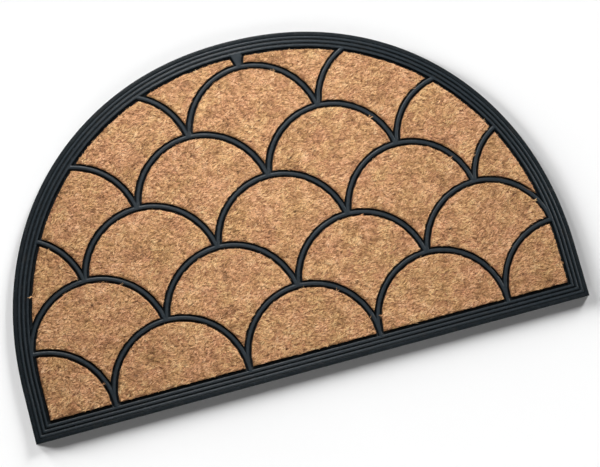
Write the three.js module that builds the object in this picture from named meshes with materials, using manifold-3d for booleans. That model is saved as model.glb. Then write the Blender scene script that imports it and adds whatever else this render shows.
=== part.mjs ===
// Half-round doormat: one moulded rubber tray with a ridged border and scalloped dividing ribs,
// and a brushed coir pad bonded into each of its cells. Millimetres, +Z up.
// X runs along the straight edge, Y points from the straight edge to the crown of the arch,
// and the origin lies on the floor, under the middle of the mat.

import * as THREE from 'three';
import { mergeVertices } from 'three/addons/utils/BufferGeometryUtils.js';
import Module from 'manifold-3d';

const wasm = await Module();
wasm.setup();

// Outline: two short straight sides, and over them an arch a little fuller than a half circle.
const matWidth = 762;
const matDepth = 457;
const sideHeight = 70; // straight run of each side, before the arch begins
const archFullness = 2.11; // exponent of the arch, where 2 is a true half ellipse
const archSteps = 64;

// Heights above the floor.
const floorTop = 2.4; // the rubber sheet under the pads
const stripTop = 5.9; // the flat strip along the mat's outer edge
const grooveFloor = 5.1; // between the ridges of the border
const ridgeTop = 6.8; // ridges and dividing ribs alike
const padTop = 9.5; // the coir, brushed and sheared

// Border, from the outer edge inwards.
const ridgeCount = 3;
const firstRidge = 7.9; // outer edge to the middle of the first ridge
const ridgePitch = 5.6;
const ridgeCrown = 2.0; // width of a ridge at its top
const ridgeFoot = 3.8; // width of a ridge at the groove
const borderWidth = 23.2; // outer edge to the foot of the border's inner wall

// Scallops: half circles in staggered rows, each row standing on the one before.
const scallopRadius = 90;
const rowRise = 76.5;
const rowCount = 7;
const scallopsAside = 2; // whole scallops on each side of the middle one
const circleSteps = 36;

// Dividing ribs and coir pads.
const ribFoot = 6.4;
const ribCrown = 3.8;
const ribShoulder = 5.7; // height at which the rib's sides lean in to its crown
const seam = 0.3; // clearance between a pad and the rubber
const padBevel = 1.6; // the worn-back edge of a pad
const leastPadArea = 900; // smaller cells are moulded solid
const overlap = 0.6; // how far a joined solid reaches into the one that it joins
const clear = 1; // how far a cutting solid reaches past the one that it cuts
const weld = 1e-4; // points closer than this are one

const straightEdgeY = -matDepth / 2;
const innerEdgeY = straightEdgeY + borderWidth;

// One point of the arch, moved inwards by inset. Turn runs from 0 at the right to PI at the left.
function archPoint(turn, inset) {
  const halfWidth = matWidth / 2;
  const rise = matDepth - sideHeight;
  const across = Math.cos(turn);
  const up = Math.sin(turn);
  const power = 2 / archFullness;
  const x = halfWidth * Math.sign(across) * Math.abs(across) ** power;
  const y = rise * Math.abs(up) ** power;
  const normal = new THREE.Vector2(
    (Math.sign(x) * Math.abs(x / halfWidth) ** (archFullness - 1)) / halfWidth,
    (y / rise) ** (archFullness - 1) / rise,
  ).normalize();
  return new THREE.Vector2(x, straightEdgeY + sideHeight + y).addScaledVector(normal, -inset);
}

// The mat's outline, moved inwards by inset, anticlockwise from the right-hand corner.
function outline(inset) {
  const cornerX = matWidth / 2 - inset;
  const cornerY = straightEdgeY + inset;
  const points = [new THREE.Vector2(cornerX, cornerY)];
  for (let step = 0; step <= archSteps; step += 1) {
    points.push(archPoint((Math.PI * step) / archSteps, inset));
  }
  points.push(new THREE.Vector2(-cornerX, cornerY));
  return points;
}

// A closed solid through outlines at [inset, height], from its underside to its upper face.
function loft(levels) {
  const rings = levels.map(([inset]) => outline(inset));
  const count = rings[0].length;
  const positions = [];
  rings.forEach((ring, level) => {
    ring.forEach((point) => positions.push(point.x, point.y, levels[level][1]));
  });
  const index = [];
  for (let level = 0; level < rings.length - 1; level += 1) {
    for (let near = 0; near < count; near += 1) {
      const far = (near + 1) % count;
      const low = level * count;
      const high = low + count;
      index.push(low + near, low + far, high + far);
      index.push(low + near, high + far, high + near);
    }
  }
  const lastRing = (rings.length - 1) * count;
  THREE.ShapeUtils.triangulateShape(rings[0], []).forEach(([a, b, c]) => index.push(a, c, b));
  THREE.ShapeUtils.triangulateShape(rings.at(-1), []).forEach(([a, b, c]) => {
    index.push(lastRing + a, lastRing + b, lastRing + c);
  });
  const geometry = new THREE.BufferGeometry();
  geometry.setAttribute('position', new THREE.Float32BufferAttribute(positions, 3));
  geometry.setIndex(index);
  return toSolid(geometry);
}

// A solid of revolution about the vertical line through centre, from [radius, height] pairs
// that go round the section anticlockwise.
function revolve(section, centre) {
  const points = section.map(([radius, height]) => new THREE.Vector2(radius, height));
  const geometry = new THREE.LatheGeometry(points, circleSteps);
  geometry.rotateX(Math.PI / 2);
  geometry.translate(centre.x, centre.y, 0);
  return toSolid(geometry);
}

function toSolid(geometry) {
  const bare = geometry.clone();
  bare.deleteAttribute('normal');
  bare.deleteAttribute('uv');
  const merged = mergeVertices(bare, weld);
  const vertProperties = new Float32Array(merged.attributes.position.array);
  const triVerts = new Uint32Array(merged.index.array);
  return new wasm.Manifold(new wasm.Mesh({ numProp: 3, vertProperties, triVerts }));
}

function toMesh(name, solid, material) {
  const { vertProperties, triVerts } = solid.getMesh();
  const geometry = new THREE.BufferGeometry();
  geometry.setAttribute('position', new THREE.Float32BufferAttribute(vertProperties, 3));
  geometry.setIndex(Array.from(triVerts));
  geometry.computeVertexNormals();
  const mesh = new THREE.Mesh(geometry, material);
  mesh.name = name;
  return mesh;
}

// The tray without its dividing ribs: a sheet with the ridged border standing round it.
function borderedSheet() {
  const levels = [[0, 0], [0, stripTop]];
  for (let ridge = 0; ridge < ridgeCount; ridge += 1) {
    const middle = firstRidge + ridge * ridgePitch;
    levels.push([middle - ridgeFoot / 2, ridge === 0 ? stripTop : grooveFloor]);
    levels.push([middle - ridgeCrown / 2, ridgeTop]);
    levels.push([middle + ridgeCrown / 2, ridgeTop]);
    if (ridge < ridgeCount - 1) levels.push([middle + ridgeFoot / 2, grooveFloor]);
  }
  levels.push([borderWidth, floorTop]);
  return loft(levels);
}

// The centres of the scallops, row by row, with every second row moved half a scallop sideways.
function scallopCentres() {
  const rows = [];
  for (let row = 0; row < rowCount; row += 1) {
    const pitch = 2 * scallopRadius;
    const outermost = (scallopsAside - (row % 2) / 2) * pitch;
    const centres = [];
    for (let x = -outermost; x <= outermost; x += pitch) {
      centres.push(new THREE.Vector2(x, innerEdgeY + row * rowRise));
    }
    rows.push(centres);
  }
  return rows;
}

// The scallops of the two rows below that cross this one, and so lie in front of it.
function scallopsInFront(rows, row, centre) {
  return [...(rows[row - 1] ?? []), ...(rows[row - 2] ?? [])].filter(
    (other) => other.distanceTo(centre) < 2 * scallopRadius,
  );
}

// An upright cylinder as wide as the middle line of a scallop's rib.
function scallopDisc(centre, top) {
  const low = floorTop - overlap;
  return revolve([[0, low], [scallopRadius, low], [scallopRadius, top], [0, top]], centre);
}

function scallopRib(centre, discsInFront, ribField) {
  const low = floorTop - overlap;
  const section = [
    [scallopRadius - ribFoot / 2, low],
    [scallopRadius + ribFoot / 2, low],
    [scallopRadius + ribFoot / 2, ribShoulder],
    [scallopRadius + ribCrown / 2, ridgeTop],
    [scallopRadius - ribCrown / 2, ridgeTop],
    [scallopRadius - ribFoot / 2, ribShoulder],
    [scallopRadius - ribFoot / 2, low],
  ];
  let rib = revolve(section, centre).intersect(ribField);
  for (const disc of discsInFront) rib = rib.subtract(disc);
  return rib;
}

// What a rib standing round the given circle takes out of a pad that lies outside it.
function ribClearance(centre) {
  const wall = scallopRadius + ribFoot / 2 + seam;
  const section = [
    [0, floorTop - clear],
    [wall, floorTop - clear],
    [wall, padTop - padBevel],
    [wall + padBevel + clear, padTop + clear],
    [0, padTop + clear],
  ];
  return revolve(section, centre);
}

function coirPad(centre, centresInFront, padField) {
  const wall = scallopRadius - ribFoot / 2 - seam;
  const section = [
    [0, floorTop + seam],
    [wall, floorTop + seam],
    [wall, padTop - padBevel],
    [wall - padBevel, padTop],
    [0, padTop],
  ];
  let pad = revolve(section, centre).intersect(padField);
  for (const other of centresInFront) pad = pad.subtract(ribClearance(other));
  return pad;
}

const rubber = new THREE.MeshStandardMaterial({ color: 0x262b2d, roughness: 0.6, metalness: 0 });
const coir = new THREE.MeshStandardMaterial({ color: 0xc4986b, roughness: 0.95, metalness: 0 });

// Ribs run on into the innermost ridge, and pads stop short of the border's inner wall.
const ribReach = firstRidge + (ridgeCount - 1) * ridgePitch;
const ribField = loft([[ribReach, floorTop - clear], [ribReach, padTop + clear]]);
const padWall = borderWidth + seam;
const padField = loft([
  [padWall, floorTop - clear],
  [padWall, padTop - padBevel],
  [padWall + padBevel + clear, padTop + clear],
]);

const mat = new THREE.Group();
const rows = scallopCentres();
let tray = borderedSheet();
rows.forEach((centres, row) => {
  const rowLetter = String.fromCharCode('a'.charCodeAt(0) + row);
  let padNumber = 0;
  for (const centre of centres) {
    const centresInFront = scallopsInFront(rows, row, centre);
    const discsInFront = centresInFront.map((other) => scallopDisc(other, padTop + clear));
    tray = tray.add(scallopRib(centre, discsInFront, ribField));
    const pad = coirPad(centre, centresInFront, padField);
    if (pad.volume() > leastPadArea * (padTop - floorTop)) {
      padNumber += 1;
      mat.add(toMesh(`coir_pad_${rowLetter}${padNumber}`, pad, coir));
    } else {
      let plug = scallopDisc(centre, ridgeTop).intersect(ribField);
      for (const disc of discsInFront) plug = plug.subtract(disc);
      tray = tray.add(plug);
    }
  }
});
mat.add(toMesh('rubber_tray', tray, rubber));

export default mat;
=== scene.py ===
import math

import bmesh
import bpy
import numpy as np
from mathutils import Matrix, Vector
from mathutils.geometry import delaunay_2d_cdt


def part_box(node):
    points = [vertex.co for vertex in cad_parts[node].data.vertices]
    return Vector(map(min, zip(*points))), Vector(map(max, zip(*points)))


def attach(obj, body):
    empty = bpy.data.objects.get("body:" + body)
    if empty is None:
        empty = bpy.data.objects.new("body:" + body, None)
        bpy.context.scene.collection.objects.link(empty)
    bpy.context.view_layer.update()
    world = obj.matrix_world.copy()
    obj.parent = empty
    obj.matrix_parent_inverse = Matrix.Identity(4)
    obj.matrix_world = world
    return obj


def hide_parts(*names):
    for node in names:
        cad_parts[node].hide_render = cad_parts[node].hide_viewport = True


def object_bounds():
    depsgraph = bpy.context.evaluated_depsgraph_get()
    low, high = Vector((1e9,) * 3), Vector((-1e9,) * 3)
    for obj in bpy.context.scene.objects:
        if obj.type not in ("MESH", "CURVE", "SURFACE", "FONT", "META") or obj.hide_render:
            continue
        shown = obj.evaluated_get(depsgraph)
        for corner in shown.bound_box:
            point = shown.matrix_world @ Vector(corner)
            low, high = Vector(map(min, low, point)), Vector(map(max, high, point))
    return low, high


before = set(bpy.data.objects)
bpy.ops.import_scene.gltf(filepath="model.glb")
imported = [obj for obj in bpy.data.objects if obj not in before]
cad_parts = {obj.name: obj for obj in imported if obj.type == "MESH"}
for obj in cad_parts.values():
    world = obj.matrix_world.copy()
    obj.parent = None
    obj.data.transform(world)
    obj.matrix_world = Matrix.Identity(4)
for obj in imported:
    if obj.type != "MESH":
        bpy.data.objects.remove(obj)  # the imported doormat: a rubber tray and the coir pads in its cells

cad_low, cad_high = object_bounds()
tray_low, tray_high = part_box("rubber_tray")
pad_names = sorted(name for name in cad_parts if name.startswith("coir_pad"))
pad_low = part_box(pad_names[0])[0]

# Lengths are in metres. X runs along the straight edge, Y towards the crown of the arch, Z up.
MM = 0.001
WELD = 0.001 * MM

# The mat's outline: two short straight sides, and over them an arch fuller than a half circle.
HALF_WIDTH = tray_high.x
BASE_Y = tray_low.y
DEPTH = tray_high.y - tray_low.y
SIDE_HEIGHT = 70 * MM
ARCH_FULLNESS = 2.11
ARCH_STEPS = 448

# The rubber tray's heights.
SEAM = 0.3 * MM  # between the rubber and a pad
FLOOR_TOP = pad_low.z - SEAM
STRIP_TOP = 5.9 * MM
GROOVE_FLOOR = 5.1 * MM
GROOVE_DIP = 0.2 * MM  # how much lower a groove is at its middle
RIDGE_TOP = tray_high.z

# The border's ridges, from the outer edge inwards.
RIDGE_COUNT = 3
FIRST_RIDGE = 7.9 * MM
RIDGE_PITCH = 5.6 * MM
LAST_RIDGE = FIRST_RIDGE + (RIDGE_COUNT - 1) * RIDGE_PITCH
LAST_RIDGE_END = math.radians(35)  # where its round runs into the inner wall
RIDGE_HALF_FOOT = 1.95 * MM
RIDGE_FULLNESS = 0.75  # exponent of a ridge's round top, where 1 is a half ellipse
RIDGE_STEPS = 9
BORDER_WIDTH = 23.2 * MM

# The flat outer strip as (inset, depth below its top), and the border's inner wall as (distance
# outside its foot, height), all in millimetres.
STRIP = [(0, 0.8), (0.15, 0.35), (0.5, 0.08), (1.0, 0), (5.0, 0), (5.5, 0.15)]
INNER_WALL = [(2.1, 4.0), (1.5, 2.9)]

# Half of a rib's section, from its foot to the middle of its top, as (distance, height) in
# millimetres.
RIB_SIDE = [(3.2, 2.9), (3.1, 4.7), (2.75, 5.6), (2.15, 6.3), (1.4, 6.65), (0.7, 6.77)]
SHARP_ANGLE = math.radians(38)

# Scallops: half circles in staggered rows, with a rib round each.
SCALLOP_RADIUS = 90 * MM
ROW_RISE = 76.5 * MM
ROW_COUNT = 7
SCALLOPS_ASIDE = 2
INNER_EDGE_Y = BASE_Y + BORDER_WIDTH
CIRCLE_STEPS = 120
OVERLAP = 0.6 * MM

# A pad's matted body. Layers of noise are given as (strength, width in millimetres).
PILE_TOP = cad_high.z
BODY_TOP = PILE_TOP - 2.0 * MM
BODY_BOTTOM = pad_low.z
BODY_INSET = 0.1 * MM  # from the edge of the pad's top to its wall
BODY_GRID = 3.0 * MM
GRID_JITTER = 0.3  # in grid widths
GRID_MARGIN = 0.4 * BODY_GRID
BODY_LUMPS = ((0.3, 7), (0.35, 3.5))
WORN_EDGE = 0.5 * MM  # how much lower the top is at its edge
WALL_TOP = BODY_TOP - 1.8 * MM
EDGE_SPACING = 2.5 * MM
EDGE_WANDER = 0.3 * MM
EDGE_WANDER_WIDTH = 6 * MM
FLAT_WITHIN = 0.1 * MM  # depth within which a face still belongs to the pad's top

# Limits for points and edges that lie almost in line.
LONGEST_MITER = 1.6
LEAST_LENGTH = 0.01
LEAST_RISE = 1e-12
LEAST_CROSS = 1e-9
FAR_AWAY = 1.0

# Tufts of fibres. Pairs are a mean and a spread, with angles in degrees.
TUFTS_PER_MM2 = 0.165
TUFT_SPREAD = 0.55 * MM
FIBRES_PER_TUFT = 5
BRUSHED_WAY = math.radians(17)  # the way most fibres lean, from +X towards +Y
SWIRLS = ((0.3, 22), (0.3, 7))
TUFT_LEAN_SPREAD = 0.22
BRUSHED_BACK_SHARE = 0.14
TUFT_STEEPNESS = (43, 9)
TUFT_DROOP = (10, 9)
MEAN_TONE = 0.5
TONE_PATCHES = ((0.26, 5), (0.1, 14))
TUFT_TONE_SPREAD = 0.09
DARK_TUFT_SHARE = 0.0008  # shares are parts of 1
DARK_TUFT_TONE = -0.3
MEAN_HUE = 0.5
HUE_PATCHES = ((0.4, 24), (0.4, 8))
STRAY_SHARE = 0.008  # tufts that reach over the rubber

# Single fibres, with lengths and widths in millimetres.
FIBRE_LENGTH = (6.4, 1.3)
FIBRE_LENGTHS = (3.4, 10)  # the least and the most
FIBRE_WIDTH = (0.55, 0.13)
FIBRE_WIDTHS = (0.28, 0.95)
TIP_SHARE = 0.35  # a tip's part of the fibre's width
LEAN_SPREAD = 0.17
CURL_SPREAD = 0.35
ROLL_SPREAD = 0.35
STEEPNESS_SPREAD = 7
STEEPNESSES = (12, 70)
DROOP_SPREAD = 8
DROOPS = (-20, 45)
EDGE_RAGGEDNESS = 1.5  # how far short of the pad's edge some fibres end
SHORTEST_RUN = 0.04  # part of its run that a fibre at the edge keeps
ROOT_DEPTH = 1.0 * MM
ROOT_DEPTH_SPREAD = 0.2
SHEARED = (-0.3, 1.2)  # heights over the pile's top at which fibres are cut off
DARK_FIBRE_SHARE = 0.015
DARK_FIBRE_TONE = 0.05
TONE_SPREAD = 0.04
HUE_SPREAD = 0.08
HUES = 8  # shades from pinkish to yellowish coir
BELOW_ONE = 0.999
FIBRE_POINTS = 6

# The pads' colour map: the body lies in its lower part, and above it is a band for each hue.
BODY_CORNER = (0.01, 0.01)
BODY_SPAN = (0.98, 0.38)
WALL_TOP_OFFSET = 2 * MM
WALL_FOOT_OFFSET = 5 * MM
TONE_START = 0.02
TONE_SPAN = 0.96
BANDS_START = 0.42
BANDS_SPAN = 0.57
BAND_MARGIN = 0.1
MAPPED_HALF_WIDTH = 0.004
MAPPED_TIP_HALF_WIDTH = 0.0015

# Colours, as linear red, green and blue.
BLACK_RUBBER = [(0.3, (0.0018, 0.0033, 0.0044)), (0.7, (0.003, 0.005, 0.0064))]
# Lighter rubber for the tops of the ridges and ribs: partly wear, partly a painted highlight.
WORN_HIGHLIT_RUBBER = (0.016, 0.022, 0.027, 1)
SCUFFED_RUBBER = (0.03, 0.04, 0.05, 1)
DUSTY_RUBBER = (0.032, 0.026, 0.02, 1)
RUBBER_SPECULAR = 0.265
# The depth below the ridge tops over which the wear and painted highlight fade in.
WEAR_AND_HIGHLIGHT_DEPTH = 1.2 * MM
STRAW = [
    (0.0, (0.085, 0.036, 0.014)),
    (0.25, (0.42, 0.235, 0.115)),
    (0.5, (0.72, 0.46, 0.26)),
    (0.75, (0.86, 0.62, 0.39)),
    (1.0, (0.95, 0.78, 0.56)),
]
MATTED = [(0.3, (0.10, 0.045, 0.02)), (0.5, (0.34, 0.19, 0.095)), (0.7, (0.66, 0.42, 0.24))]
PINK_TINT = (1.0, 0.8, 0.71, 1)
YELLOW_TINT = (1.0, 0.92, 0.69, 1)
# Painted shade: the coir body's colour darkens towards its foot, in the gap beside the rubber.
PAINTED_SHADE_DEPTH = 2.5 * MM  # over which the body darkens towards its foot
STRAND_SCALE = (0.28, 1, 1)  # stretches the body's strands along the brushed way
MOST_NOISE = (0.3, 0.7)  # the span in which most values of noise lie
PALE_FLOOR = [(0, (0.86, 0.86, 0.86)), (1, (0.9, 0.9, 0.9))]
FLOOR_ROUGHNESS = 0.9
FLOOR_HALF_SIZE = 6.0

# The camera stands almost over the mat, a little to the left and below, and is turned.
LENS_MM = 85
SENSOR_MM = 36
CAMERA_DISTANCE = 1.898
CAMERA_TARGET = (0.0217, -0.0481, 0)
CAMERA_TILT = math.radians(9.31)
CAMERA_AZIMUTH = math.radians(-52.05)
CAMERA_TURN = math.radians(-15.15)

# Lamps for the mat as (place, power): beyond the arch, at the right and in front.
LAMPS = (((0.0, 1.35, 1.2), 33), ((1.75, 0.2, 0.65), 17), ((0.1, -1.6, 0.9), 8.5))
LAMP_SIZE = 0.8
# A low fill lamp for the coir, brightest at the mat's middle. The rubber doesn't mirror it.
FILL_PLACE = (-0.02, 0.09, 0.55)
FILL_POWER = 2.5
FILL_SIZE = 0.5
SKY_STRENGTH = 0.03

# Low suns for the floor as (azimuth, elevation, power), which give the mat its wide soft shadow.
FLOOR_SUNS = ((45, 12, 5.5), (120, 9, 5.1), (150, 7, 9.8), (240, 15, 0.9), (300, 15, 0.4))
FLOOR_SUN_WIDTH = math.radians(16)


# Shared shapes


def outline(inset, steps):
    """The mat's outline moved inwards by inset, anticlockwise from the right-hand corner."""
    rise = DEPTH - SIDE_HEIGHT
    turn = np.linspace(0, math.pi, steps + 1)
    across, up = np.cos(turn), np.abs(np.sin(turn))
    power = 2 / ARCH_FULLNESS
    x = HALF_WIDTH * np.sign(across) * np.abs(across) ** power
    y = rise * up**power
    normal_x = np.sign(x) * np.abs(x / HALF_WIDTH) ** (ARCH_FULLNESS - 1) / HALF_WIDTH
    normal_y = (y / rise) ** (ARCH_FULLNESS - 1) / rise
    normal = np.stack([normal_x, normal_y], axis=1)
    normal /= np.linalg.norm(normal, axis=1, keepdims=True)
    arch = np.stack([x, BASE_Y + SIDE_HEIGHT + y], axis=1) - inset * normal
    corner = (HALF_WIDTH - inset, BASE_Y + inset)
    side_steps, base_steps = steps // 16, steps // 2
    side = np.linspace(corner, arch[0], side_steps, endpoint=False)
    base = np.linspace((-corner[0], corner[1]), corner, base_steps, endpoint=False)
    return np.concatenate([side, arch, side[::-1] * (-1, 1), base[1:]])


def new_object(name, vertices, faces):
    mesh = bpy.data.meshes.new(name)
    mesh.from_pydata(vertices, [], faces)
    piece = bpy.data.objects.new(name, mesh)
    bpy.context.scene.collection.objects.link(piece)
    return piece


def strips(ring_count, ring_size):
    """Quads between rings of the same size, each ring lying after the one below it."""
    near = np.arange(ring_size)
    far = (near + 1) % ring_size
    first = np.stack([near, far, far + ring_size, near + ring_size], axis=1)
    return [face for ring in range(ring_count - 1) for face in (first + ring * ring_size).tolist()]


def loft(name, levels, steps):
    """A closed solid through outlines at (inset, height), from its underside to its top."""
    rings = [outline(inset, steps) for inset, _ in levels]
    size = len(rings[0])
    heights = [height for _, height in levels]
    vertices = [(x, y, z) for ring, z in zip(rings, heights) for x, y in ring]
    faces = strips(len(rings), size)
    faces.append(list(range(size - 1, -1, -1)))
    faces.append(list(range(size * (len(rings) - 1), size * len(rings))))
    return new_object(name, vertices, faces)


def circle(centre, radius):
    turn = np.linspace(0, 2 * math.pi, CIRCLE_STEPS, endpoint=False)
    return np.stack([centre[0] + radius * np.cos(turn), centre[1] + radius * np.sin(turn)], axis=1)


def revolve(name, section, centre):
    """A ring: a closed section of (radius, height) turned about the vertical line at centre."""
    vertices = [(x, y, z) for radius, z in section for x, y in circle(centre, radius)]
    faces = strips(len(section), CIRCLE_STEPS)
    last = CIRCLE_STEPS * (len(section) - 1)
    near = np.arange(CIRCLE_STEPS)
    far = (near + 1) % CIRCLE_STEPS
    faces += np.stack([last + near, last + far, far, near], axis=1).tolist()
    return new_object(name, vertices, faces)


def disc(name, centre, low, high):
    """An upright cylinder as wide as the middle line of a scallop's rib."""
    vertices = [(x, y, z) for z in (low, high) for x, y in circle(centre, SCALLOP_RADIUS)]
    faces = strips(2, CIRCLE_STEPS)
    faces.append(list(range(CIRCLE_STEPS - 1, -1, -1)))
    faces.append(list(range(CIRCLE_STEPS, 2 * CIRCLE_STEPS)))
    return new_object(name, vertices, faces)


def combine(piece, tool, operation):
    """Cuts piece by tool, joins them or keeps what they share. The tool stays as it is."""
    modifier = piece.modifiers.new(operation, "BOOLEAN")
    modifier.operation = operation
    modifier.solver = "MANIFOLD"
    modifier.object = tool
    graph = bpy.context.evaluated_depsgraph_get()
    mesh = bpy.data.meshes.new_from_object(piece.evaluated_get(graph))
    piece.modifiers.clear()
    piece.data = mesh


def discard(pieces):
    for piece in pieces:
        bpy.data.objects.remove(piece)


def box_of(piece):
    corners = np.array([vertex.co for vertex in piece.data.vertices])
    return corners.min(axis=0), corners.max(axis=0)


def area_of(points):
    x, y = points[:, 0], points[:, 1]
    return abs(np.sum(x * np.roll(y, -1) - y * np.roll(x, -1))) / 2


# The rubber tray


def border_profile():
    """The border's section as (inset, height): a flat strip, rounded ridges, an inner wall."""
    profile = [(0, 0)]
    profile += [(inset * MM, STRIP_TOP - drop * MM) for inset, drop in STRIP]
    rise = RIDGE_TOP - GROOVE_FLOOR
    for ridge in range(RIDGE_COUNT):
        middle = FIRST_RIDGE + ridge * RIDGE_PITCH
        is_last = ridge == RIDGE_COUNT - 1
        for turn in np.linspace(math.pi, LAST_RIDGE_END if is_last else 0, RIDGE_STEPS):
            along = middle + RIDGE_HALF_FOOT * math.cos(turn)
            profile.append((along, GROOVE_FLOOR + rise * abs(math.sin(turn)) ** RIDGE_FULLNESS))
        if not is_last:
            profile.append((middle + RIDGE_PITCH / 2, GROOVE_FLOOR - GROOVE_DIP))
    profile += [(BORDER_WIDTH - away * MM, height * MM) for away, height in INNER_WALL]
    profile.append((BORDER_WIDTH, FLOOR_TOP))
    return profile


def rib_section():
    """The rib's closed section as (radius, height), with steep sides and a rounded top."""
    foot = RIB_SIDE[0][0] * MM
    low = FLOOR_TOP - OVERLAP
    section = [(SCALLOP_RADIUS - foot, low), (SCALLOP_RADIUS + foot, low)]
    section += [(SCALLOP_RADIUS + away * MM, up * MM) for away, up in RIB_SIDE]
    section.append((SCALLOP_RADIUS, RIDGE_TOP))
    section += [(SCALLOP_RADIUS - away * MM, up * MM) for away, up in RIB_SIDE[::-1]]
    return section


def scallop_rows():
    """The centres of the scallops, with every second row moved half a scallop sideways."""
    rows = []
    for row in range(ROW_COUNT):
        outermost = (2 * SCALLOPS_ASIDE - row % 2) * SCALLOP_RADIUS
        across = np.arange(-outermost, outermost + SCALLOP_RADIUS, 2 * SCALLOP_RADIUS)
        rows.append([np.array((x, INNER_EDGE_Y + row * ROW_RISE)) for x in across])
    return rows


def in_front(rows, row, centre):
    """The scallops of the two rows below that cross this one."""
    below = [other for near in rows[max(row - 2, 0) : row] for other in near]
    return [other for other in below if np.linalg.norm(other - centre) < 2 * SCALLOP_RADIUS]


def holds_a_pad(cell):
    """Whether one of the model's coir pads lies in this cell."""
    low, high = box_of(cell)
    for name in pad_names:
        pad_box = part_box(name)
        if low[0] < pad_box[0].x and pad_box[1].x < high[0]:
            if low[1] < pad_box[0].y and pad_box[1].y < high[1]:
                return True
    return False


def make_tray():
    """The tray: the bordered sheet, the ribs, and the small cells that are solid rubber."""
    low, high = FLOOR_TOP - OVERLAP, PILE_TOP
    tray = loft("rubber_tray_moulding", border_profile(), ARCH_STEPS)
    reach = [(LAST_RIDGE, low - OVERLAP), (LAST_RIDGE, high + OVERLAP)]
    field = loft("field", reach, ARCH_STEPS // 2)
    rows = scallop_rows()
    for row, centres in enumerate(rows):
        for centre in centres:
            nearer = in_front(rows, row, centre)
            front = [disc("front", other, low - OVERLAP, high) for other in nearer]
            rib = revolve("rib", rib_section(), centre)
            cell = disc("cell", centre, low, RIDGE_TOP)
            for part in (rib, cell):
                combine(part, field, "INTERSECT")
                for other in front:
                    combine(part, other, "DIFFERENCE")
            if rib.data.polygons:
                combine(tray, rib, "UNION")
            if cell.data.polygons and not holds_a_pad(cell):
                combine(tray, cell, "UNION")
            discard([rib, cell, *front])
    discard([field])
    tray.data.polygons.foreach_set("use_smooth", [True] * len(tray.data.polygons))
    tray.data.set_sharp_from_angle(angle=SHARP_ANGLE)
    return tray


# The coir


def smooth_noise(points, cell, rng):
    """Noise from -1 to 1 at 2-D points, with features about as wide as cell."""
    low = points.min(axis=0) - cell
    spans = np.ceil((points.max(axis=0) - low) / cell).astype(int) + 2
    values = rng.uniform(-1, 1, spans)
    place = (points - low) / cell
    corner = np.floor(place).astype(int)
    part = place - corner
    part = part * part * (3 - 2 * part)
    i, j = corner[:, 0], corner[:, 1]
    near = values[i, j] * (1 - part[:, 0]) + values[i + 1, j] * part[:, 0]
    far = values[i, j + 1] * (1 - part[:, 0]) + values[i + 1, j + 1] * part[:, 0]
    return near * (1 - part[:, 1]) + far * part[:, 1]


def layered_noise(points, layers, rng):
    """The sum of layers of noise, each of a strength and a width in millimetres."""
    return sum(strength * smooth_noise(points, width * MM, rng) for strength, width in layers)


def top_outline(node):
    """The edge of a pad's flat top, anticlockwise, from the model's own mesh."""
    shape = bmesh.new()
    shape.from_mesh(node.data)
    bmesh.ops.remove_doubles(shape, verts=shape.verts, dist=WELD)
    flat = max(vertex.co.z for vertex in shape.verts) - FLAT_WITHIN
    lower = [face for face in shape.faces if any(vertex.co.z < flat for vertex in face.verts)]
    bmesh.ops.delete(shape, geom=lower, context="FACES")
    following = {}
    for face in shape.faces:
        for corner in face.loops:
            if corner.edge.is_boundary:
                following[corner.vert] = corner.link_loop_next.vert
    loops = []
    while following:
        vertex = next(iter(following))
        loop = []
        while vertex in following:
            loop.append(vertex.co.to_2d())
            vertex = following.pop(vertex)
        loops.append(np.array(loop))
    shape.free()
    return max(loops, key=area_of)


def refine(loop, spacing):
    """The same loop with points no further apart than spacing."""
    points = []
    for start, end in zip(loop, np.roll(loop, -1, axis=0)):
        count = max(1, math.ceil(np.linalg.norm(end - start) / spacing))
        points.append(np.linspace(start, end, count, endpoint=False))
    return np.concatenate(points)


def grow(loop, distance):
    """An anticlockwise loop moved outwards, with a limit on how far its sharp points move."""
    edge = np.roll(loop, -1, axis=0) - loop
    edge /= np.linalg.norm(edge, axis=1, keepdims=True)
    outward = np.stack([edge[:, 1], -edge[:, 0]], axis=1)
    both = outward + np.roll(outward, 1, axis=0)
    length = np.maximum(np.linalg.norm(both, axis=1, keepdims=True), LEAST_LENGTH)
    miter = np.minimum(2 / length, LONGEST_MITER)
    return loop + both / length * miter * np.reshape(distance, (-1, 1))


def inside(points, loop):
    """Which points lie inside the loop, by how many of its edges lie to their right."""
    a, b = loop, np.roll(loop, -1, axis=0)
    x, y = points[:, :1], points[:, 1:]
    crosses = (a[:, 1] > y) != (b[:, 1] > y)
    rise = b[:, 1] - a[:, 1]
    rise = np.where(rise == 0, LEAST_RISE, rise)
    meet = a[:, 0] + (y - a[:, 1]) * (b[:, 0] - a[:, 0]) / rise
    return (np.sum(crosses & (x < meet), axis=1) % 2).astype(bool)


def reach_to_edge(points, way, loop):
    """How far each point can go along its own way before it meets the loop."""
    a = loop
    along = np.roll(loop, -1, axis=0) - a
    cross = way[:, :1] * along[:, 1] - way[:, 1:] * along[:, 0]
    cross = np.where(np.abs(cross) < LEAST_CROSS, LEAST_CROSS, cross)
    dx = a[:, 0] - points[:, :1]
    dy = a[:, 1] - points[:, 1:]
    distance = (dx * along[:, 1] - dy * along[:, 0]) / cross
    place = (dx * way[:, 1:] - dy * way[:, :1]) / cross
    hit = (distance > 0) & (place >= 0) & (place <= 1)
    return np.where(hit, distance, FAR_AWAY).min(axis=1)


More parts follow.
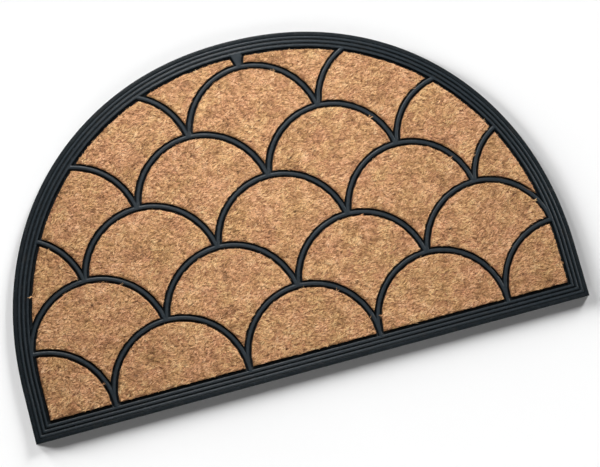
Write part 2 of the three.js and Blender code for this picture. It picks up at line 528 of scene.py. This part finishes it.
def pad_body(edge, rng):
    """The matted body under the fibres: its vertices and faces."""
    wall = grow(edge, -BODY_INSET)
    low, high = edge.min(axis=0), edge.max(axis=0)
    xs = np.arange(low[0], high[0], BODY_GRID)
    ys = np.arange(low[1], high[1], BODY_GRID)
    grid = np.stack(np.meshgrid(xs, ys), axis=-1).reshape(-1, 2)
    grid = grid + rng.uniform(-GRID_JITTER, GRID_JITTER, grid.shape) * BODY_GRID
    grid = grid[inside(grid, grow(edge, -GRID_MARGIN))]
    flat = np.concatenate([edge, grid])
    count = len(edge)
    _, _, triangles, _, _, _ = delaunay_2d_cdt(
        [Vector(point) for point in flat], [], [list(range(count))], 1, WELD
    )
    top_height = BODY_TOP + layered_noise(flat, BODY_LUMPS, rng) * MM
    top_height[:count] -= WORN_EDGE
    vertices = [(x, y, z) for (x, y), z in zip(flat, top_height)]
    shoulder, foot = len(vertices), len(vertices) + count
    vertices += [(x, y, WALL_TOP) for x, y in wall]
    vertices += [(x, y, BODY_BOTTOM) for x, y in wall]
    faces = [list(face) for face in triangles]
    for near in range(count):
        far = (near + 1) % count
        faces.append([shoulder + near, shoulder + far, far, near])
        faces.append([foot + near, foot + far, shoulder + far, shoulder + near])
    faces.append([foot + k for k in range(count - 1, -1, -1)])
    return np.array(vertices), faces


def fibre_roots(edge, rng):
    """Fibres in tufts: their places, and their tuft's lean, steepness, droop, tone, hue and reach."""
    wall = grow(edge, -BODY_INSET)
    low, high = wall.min(axis=0), wall.max(axis=0)
    count = int(TUFTS_PER_MM2 * np.prod(high - low) / MM**2)
    tufts = rng.uniform(low, high, (count, 2))
    tufts = tufts[inside(tufts, wall)]
    count = len(tufts)
    lean = BRUSHED_WAY + layered_noise(tufts, SWIRLS, rng) + rng.normal(0, TUFT_LEAN_SPREAD, count)
    lean += np.where(rng.random(count) < BRUSHED_BACK_SHARE, math.pi, 0)
    steep = rng.normal(*TUFT_STEEPNESS, count)
    droop = rng.normal(*TUFT_DROOP, count)
    patches = layered_noise(tufts, TONE_PATCHES, rng)
    is_dark = rng.random(count) < DARK_TUFT_SHARE
    tone = MEAN_TONE + patches + rng.normal(0, TUFT_TONE_SPREAD, count)
    tone = np.where(is_dark, DARK_TUFT_TONE, tone)
    hue = MEAN_HUE + layered_noise(tufts, HUE_PATCHES, rng)
    strays = rng.random(count) < STRAY_SHARE
    tuft = np.repeat(np.arange(count), FIBRES_PER_TUFT)
    roots = tufts[tuft] + rng.normal(0, TUFT_SPREAD, (len(tuft), 2))
    kept = inside(roots, wall)
    return roots[kept], *(of[tuft][kept] for of in (lean, steep, droop, tone, hue, strays))


def level_run(half, angle, fit, way):
    """Half a fibre as a vector, which rises at its angle and whose level run is shortened by fit."""
    return np.column_stack([half * np.cos(angle)[:, None] * fit * way, half * np.sin(angle)[:, None]])


def grow_fibres(edge, rng):
    """Bent, tapering fibres, six vertices and two faces each, with a tone, hue and place along."""
    roots, lean, steep, droop, tone, hue, strays = fibre_roots(edge, rng)
    count = len(roots)
    lean = lean + rng.normal(0, LEAN_SPREAD, count)
    curl = lean + rng.normal(0, CURL_SPREAD, count)
    length = np.clip(rng.normal(*FIBRE_LENGTH, count), *FIBRE_LENGTHS) * MM
    steep = np.radians(np.clip(steep + rng.normal(0, STEEPNESS_SPREAD, count), *STEEPNESSES))
    droop = np.radians(np.clip(droop + rng.normal(0, DROOP_SPREAD, count), *DROOPS))
    way = np.stack([np.cos(lean), np.sin(lean)], axis=1)
    way_on = np.stack([np.cos(curl), np.sin(curl)], axis=1)
    run = length / 2 * (np.cos(steep) + np.cos(droop))
    room = reach_to_edge(roots, way, grow(edge, -BODY_INSET))
    room = np.where(strays, FAR_AWAY, room + rng.uniform(-EDGE_RAGGEDNESS, 0, count) * MM)
    fit = np.clip(room / run, SHORTEST_RUN, 1)[:, None]
    half = (length / 2)[:, None]
    low = BODY_TOP - ROOT_DEPTH + rng.normal(0, ROOT_DEPTH_SPREAD, count) * MM
    start = np.column_stack([roots, low])
    first = level_run(half, steep, fit, way)
    middle = start + first
    end = middle + level_run(half, droop, fit, way_on)
    sheared = PILE_TOP + rng.uniform(*SHEARED, count) * MM
    middle[:, 2] = np.minimum(middle[:, 2], sheared)
    end[:, 2] = np.minimum(end[:, 2], sheared)
    roll = rng.normal(0, ROLL_SPREAD, count)[:, None]
    level = np.column_stack([-way[:, 1], way[:, 0], np.zeros(count)])
    raised = np.cross(first, level)
    raised /= np.linalg.norm(raised, axis=1, keepdims=True)
    width = np.clip(rng.normal(*FIBRE_WIDTH, count), *FIBRE_WIDTHS)[:, None] * MM
    across = (level * np.cos(roll) + raised * np.sin(roll)) * width / 2
    points = [start - across, start + across, middle - across, middle + across]
    points += [end - TIP_SHARE * across, end + TIP_SHARE * across]
    vertices = np.stack(points, axis=1).reshape(-1, 3)
    corner = FIBRE_POINTS * np.arange(count)[:, None]
    quads = np.concatenate([corner + (0, 1, 3, 2), corner + (2, 3, 5, 4)])
    is_dark = rng.random(count) < DARK_FIBRE_SHARE
    tone = np.where(is_dark, DARK_FIBRE_TONE, tone + rng.normal(0, TONE_SPREAD, count))
    tone = np.repeat(np.clip(tone, 0, 1), FIBRE_POINTS)
    hue = np.floor(np.clip(hue + rng.normal(0, HUE_SPREAD, count), 0, BELOW_ONE) * HUES)
    along = np.tile([0, 0, 0.5, 0.5, 1, 1], count)
    return vertices, quads, tone, np.repeat(hue, FIBRE_POINTS), along


def body_places(points, count):
    """The body's places in the colour map: seen from above, with its wall folded outwards."""
    edge = points[-count:]
    places = points.copy()
    places[-2 * count : -count] = grow(edge, WALL_TOP_OFFSET)
    places[-count:] = grow(edge, WALL_FOOT_OFFSET)
    low, high = places.min(axis=0), places.max(axis=0)
    return BODY_CORNER + (places - low) / (high - low) * BODY_SPAN


def fibre_places(tone, hue, along):
    """The fibres' places in the colour map, where fibres of one tone and hue share a place."""
    half_width = np.where(along == 1, MAPPED_TIP_HALF_WIDTH, MAPPED_HALF_WIDTH)
    side = np.tile([-1, 1], len(tone) // 2)
    across = TONE_START + TONE_SPAN * tone + side * half_width
    band = hue + BAND_MARGIN + (1 - 2 * BAND_MARGIN) * along
    return np.stack([across, BANDS_START + BANDS_SPAN * band / HUES], axis=1)


def set_point_value(mesh, name, values):
    mesh.attributes.new(name, "FLOAT", "POINT").data.foreach_set("value", values)


def set_map(mesh, places):
    """A colour map for the mesh, from each vertex's place in it."""
    corners = np.empty(len(mesh.loops), np.int32)
    mesh.loops.foreach_get("vertex_index", corners)
    mesh.uv_layers.new(name="OFBake").data.foreach_set("uv", places[corners].ravel())


def make_pad(name, seed):
    """One pad: its body and fibres as one mesh, in place of the model's plain pad."""
    rng = np.random.default_rng(seed)
    edge = refine(top_outline(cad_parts[name]), EDGE_SPACING)
    edge = grow(edge, EDGE_WANDER * smooth_noise(edge, EDGE_WANDER_WIDTH, rng))
    body, body_faces = pad_body(edge, rng)
    fibres, quads, tone, hue, along = grow_fibres(edge, rng)
    vertices = np.concatenate([body, fibres])
    faces = body_faces + (quads + len(body)).tolist()
    pad = new_object(name + "_coir", vertices.tolist(), faces)
    on_body = np.zeros(len(body))
    set_point_value(pad.data, "tone", np.concatenate([on_body, tone]))
    set_point_value(pad.data, "hue", np.concatenate([on_body, (hue + 0.5) / HUES]))
    set_point_value(pad.data, "along", np.concatenate([on_body, along]))
    places = [body_places(body[:, :2], len(edge)), fibre_places(tone, hue, along)]
    set_map(pad.data, np.concatenate(places))
    is_fibre = np.arange(len(faces)) >= len(body_faces)
    pad.data.materials.append(coir_body_material)
    pad.data.materials.append(coir_fibre_material)
    pad.data.polygons.foreach_set("material_index", is_fibre.astype(np.int32))
    pad.data.polygons.foreach_set("use_smooth", ~is_fibre)
    pad.data.update()
    return pad


# Materials


class Shader:
    """A material's node tree, with short calls for adding and joining its nodes."""

    def __init__(self, name):
        self.material = bpy.data.materials.new(name)
        self.material.use_nodes = True
        self.tree = self.material.node_tree
        self.surface = self.tree.nodes["Principled BSDF"]

    def add(self, kind, inputs, **settings):
        node = self.tree.nodes.new("ShaderNode" + kind)
        for key, value in settings.items():
            setattr(node, key, value)
        for key, value in inputs.items():
            if isinstance(value, bpy.types.NodeSocket):
                self.tree.links.new(value, node.inputs[key])
            else:
                node.inputs[key].default_value = value
        return node

    def join(self, socket, key):
        self.tree.links.new(socket, self.surface.inputs[key])

    def place(self):
        return self.add("TexCoord", {}).outputs["Object"]

    def height(self):
        return self.add("SeparateXYZ", {"Vector": self.place()}).outputs["Z"]

    def noise(self, scale, detail, place=None):
        if place is None:
            place = self.place()
        inputs = {"Scale": scale, "Detail": detail, "Vector": place}
        return self.add("TexNoise", inputs).outputs[0]

    def ramp(self, factor, stops):
        node = self.add("ValToRGB", {"Fac": factor})
        elements = node.color_ramp.elements
        while len(elements) < len(stops):
            elements.new(1)
        for element, (position, color) in zip(elements, stops):
            element.position = position
            element.color = (*color, 1)
        return node.outputs["Color"]

    def spread(self, factor, span, result):
        """The factor's span, stretched to the span of the result and held at its ends."""
        inputs = {"Value": factor, "From Min": span[0], "From Max": span[1]}
        inputs |= {"To Min": result[0], "To Max": result[1]}
        return self.add("MapRange", inputs).outputs["Result"]

    def mix(self, factor, first, second, blend="MIX"):
        inputs = {0: factor, 6: first, 7: second}
        return self.add("Mix", inputs, data_type="RGBA", blend_type=blend).outputs[2]

    def attribute(self, name):
        return self.add("Attribute", {}, attribute_name=name).outputs["Fac"]

    def bump(self, height, strength, distance, under=None):
        inputs = {"Height": height, "Strength": strength, "Distance": distance}
        if under is not None:
            inputs["Normal"] = under
        return self.add("Bump", inputs).outputs["Normal"]


def make_rubber():
    """Near-black rubber, lighter on the tops of its ridges and ribs for wear and as a painted highlight,
    with scuffs and some dust.
    """
    shader = Shader("black_rubber")
    black = shader.ramp(shader.noise(scale=28, detail=4), BLACK_RUBBER)
    # Wear and painted highlight: the tops of the ridges and ribs are given a lighter colour.
    worn_and_highlit = shader.spread(shader.height(), (RIDGE_TOP - WEAR_AND_HIGHLIGHT_DEPTH, RIDGE_TOP), (0, 1))
    worn_highlit_black = shader.mix(worn_and_highlit, black, WORN_HIGHLIT_RUBBER)
    scuffs = shader.spread(shader.noise(scale=330, detail=5), (0.56, 0.72), (0, 0.5))
    scuffed = shader.mix(scuffs, worn_highlit_black, SCUFFED_RUBBER)
    dust = shader.spread(shader.noise(scale=90, detail=6), (0.58, 0.8), (0, 0.3))
    shader.join(shader.mix(dust, scuffed, DUSTY_RUBBER), "Base Color")
    gloss = shader.noise(scale=190, detail=4)
    shader.join(shader.spread(gloss, MOST_NOISE, (0.28, 0.5)), "Roughness")
    fine = shader.bump(shader.noise(scale=1400, detail=3), strength=0.4, distance=0.12 * MM)
    grain = shader.noise(scale=340, detail=3)
    shader.join(shader.bump(grain, strength=0.6, distance=0.5 * MM, under=fine), "Normal")
    shader.surface.inputs["Specular IOR Level"].default_value = RUBBER_SPECULAR
    return shader.material


def tinted(shader, color, hue):
    """Coir is pinker in some patches and yellower in others."""
    return shader.mix(1.0, color, shader.mix(hue, PINK_TINT, YELLOW_TINT), "MULTIPLY")


def make_coir_fibre():
    """Straw browns by each fibre's tone and hue, with painted shade darkening each fibre towards its
    root.
    """
    shader = Shader("coir_fibre")
    straw = tinted(shader, shader.ramp(shader.attribute("tone"), STRAW), shader.attribute("hue"))
    # Painted shade: each fibre's colour darkens towards its root, where the fibres shade one another.
    painted_shade = shader.spread(shader.attribute("along"), (0, 0.8), (0.45, 1))
    shader.join(shader.mix(1.0, straw, painted_shade, "MULTIPLY"), "Base Color")
    gloss = shader.noise(scale=700, detail=2)
    shader.join(shader.spread(gloss, MOST_NOISE, (0.5, 0.75)), "Roughness")
    grain = shader.noise(scale=2600, detail=2)
    shader.join(shader.bump(grain, strength=0.4, distance=0.08 * MM), "Normal")
    return shader.material


def make_coir_body():
    """Matted fibres that run the brushed way, with painted shade darkening them towards the foot of the
    pad.
    """
    shader = Shader("coir_body")
    mapping = {"Vector": shader.place(), "Rotation": (0, 0, -BRUSHED_WAY), "Scale": STRAND_SCALE}
    turned = shader.add("Mapping", mapping).outputs["Vector"]
    strands = shader.noise(scale=900, detail=3, place=turned)
    patch = shader.spread(shader.noise(scale=60, detail=1), MOST_NOISE, (0, 1))
    matted = tinted(shader, shader.ramp(strands, MATTED), patch)
    # Painted shade: the body's colour darkens towards its foot, where the gap beside the rubber lies in
    # shade.
    painted_shade = shader.spread(shader.height(), (BODY_TOP - PAINTED_SHADE_DEPTH, BODY_TOP), (0.12, 1))
    shader.join(shader.mix(1.0, matted, painted_shade, "MULTIPLY"), "Base Color")
    shader.join(shader.spread(strands, MOST_NOISE, (0.6, 0.85)), "Roughness")
    shader.join(shader.bump(strands, strength=0.7, distance=0.5 * MM), "Normal")
    return shader.material


def make_floor_material():
    shader = Shader("pale_floor")
    shader.join(shader.ramp(shader.noise(scale=3, detail=2), PALE_FLOOR), "Base Color")
    shader.surface.inputs["Roughness"].default_value = FLOOR_ROUGHNESS
    return shader.material


# Camera, floor and light


def make_camera():
    camera = bpy.data.objects.new("camera", bpy.data.cameras.new("camera"))
    camera.data.lens = LENS_MM
    camera.data.sensor_width = SENSOR_MM
    aside, rise = math.sin(CAMERA_TILT), math.cos(CAMERA_TILT)
    back = Vector((aside * math.sin(CAMERA_AZIMUTH), -aside * math.cos(CAMERA_AZIMUTH), rise))
    level = Vector((0, 1, 0)).cross(back).normalized()
    turn = Matrix.Rotation(CAMERA_TURN, 3, back)
    axes = Matrix((turn @ level, turn @ back.cross(level), back)).transposed().to_4x4()
    camera.matrix_world = Matrix.Translation(Vector(CAMERA_TARGET) + CAMERA_DISTANCE * back) @ axes
    bpy.context.scene.collection.objects.link(camera)
    bpy.context.scene.camera = camera


def make_floor():
    half = FLOOR_HALF_SIZE
    corners = [(-half, -half, 0), (half, -half, 0), (half, half, 0), (-half, half, 0)]
    floor = new_object("floor", corners, [(0, 1, 2, 3)])
    floor.data.materials.append(make_floor_material())
    return floor


def make_lamp(name, kind, place, power, lit):
    """A lamp at place that points at the mat's middle and lights only what is in lit."""
    lamp = bpy.data.lights.new(name, kind)
    lamp.energy = power
    light = bpy.data.objects.new(name, lamp)
    light.location = place
    light.rotation_mode = "QUATERNION"
    light.rotation_quaternion = Vector(place).to_track_quat("Z", "Y")
    light.visible_camera = False
    light.light_linking.receiver_collection = lit
    bpy.context.scene.collection.objects.link(light)
    return light


def make_round_lamp(place, power, size, lit):
    light = make_lamp("mat_lamp", "AREA", place, power, lit)
    light.data.shape = "DISK"
    light.data.size = size
    return light


def light_the_mat(pieces):
    """Soft lamps round the mat. The strongest lies beyond the arch, which is the brightest part."""
    lit = bpy.data.collections.new("mat_pieces")
    for piece in pieces:
        lit.objects.link(piece)
    for place, power in LAMPS:
        make_round_lamp(place, power, LAMP_SIZE, lit)
    make_round_lamp(FILL_PLACE, FILL_POWER, FILL_SIZE, lit).visible_glossy = False


def light_the_floor(floor):
    """Low, wide suns, strongest beyond the arch, so the shadow is widest at the straight edge."""
    lit = bpy.data.collections.new("floor_only")
    lit.objects.link(floor)
    for azimuth, elevation, power in FLOOR_SUNS:
        way, rise = math.radians(azimuth), math.tan(math.radians(elevation))
        sun = make_lamp("floor_sun", "SUN", (math.cos(way), math.sin(way), rise), power, lit)
        sun.data.angle = FLOOR_SUN_WIDTH


def make_world():
    world = bpy.data.worlds.new("studio")
    world.use_nodes = True
    background = world.node_tree.nodes["Background"]
    background.inputs["Color"].default_value = (1, 1, 1, 1)
    background.inputs["Strength"].default_value = SKY_STRENGTH
    bpy.context.scene.world = world
    bpy.context.scene.view_settings.view_transform = "Standard"


rubber_material = make_rubber()
coir_body_material = make_coir_body()
coir_fibre_material = make_coir_fibre()

make_camera()
make_world()
light_the_floor(make_floor())

tray = make_tray()
tray.data.materials.clear()
tray.data.materials.append(rubber_material)
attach(tray, "root")
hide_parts("rubber_tray")

pads = []
for number, name in enumerate(pad_names):
    pad = make_pad(name, number)
    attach(pad, "root")
    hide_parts(name)
    pads.append(pad)

light_the_mat([tray, *pads])

area_of(outline(0, ARCH_STEPS))
